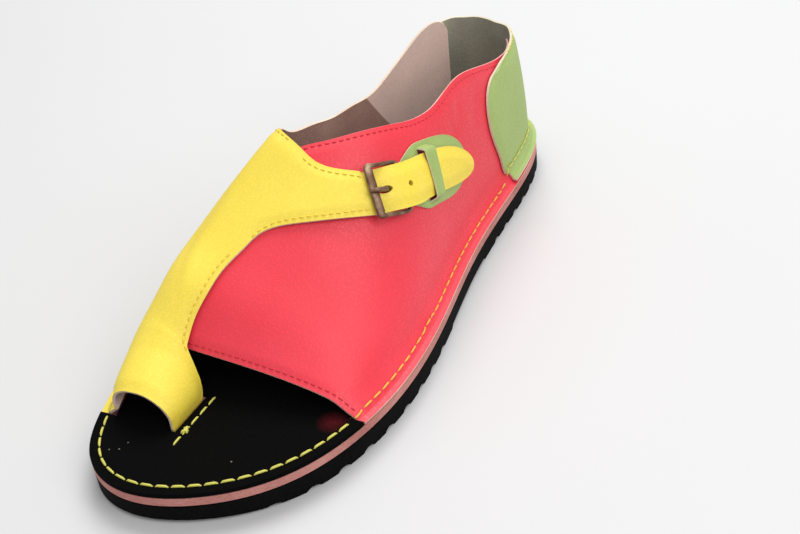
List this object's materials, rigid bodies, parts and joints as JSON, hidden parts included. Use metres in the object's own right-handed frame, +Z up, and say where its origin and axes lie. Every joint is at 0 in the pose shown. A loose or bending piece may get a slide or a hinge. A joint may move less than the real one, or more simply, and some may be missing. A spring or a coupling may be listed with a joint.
{
  "type": "toe-loop sandal",
  "caption": "Closed-heel leather sandal with a loop round the big toe, a strap buckled over the instep and a stitched flat rubber sole, for the left foot.",
  "frame": {"origin": "middle of the shoe's footprint on the floor", "axes": "+X from heel to toe, +Y to the outer side of the left foot, +Z up"},
  "size_m": [0.256, 0.0916, 0.0729],
  "materials": {
    "black_rubber": "matte black rubber",
    "raw_tan_leather": "raw cut edge, pinkish tan",
    "black_leather": "matte black leather",
    "red_leather": "satin pebbled red leather",
    "yellow_leather": "satin smooth yellow leather",
    "green_leather": "satin pale green leather",
    "dark_brass": "aged dark brass"
  },
  "bodies": {
    "root": {"outsole": "black_rubber", "midsole": "raw_tan_leather", "insole": "black_leather", "quarter_outer": "red_leather", "inner_piece": "yellow_leather", "heel_counter": "green_leather", "buckle_patch": "green_leather", "buckle_frame": "dark_brass", "buckle_prong": "dark_brass"}
  },
  "joints": []
}
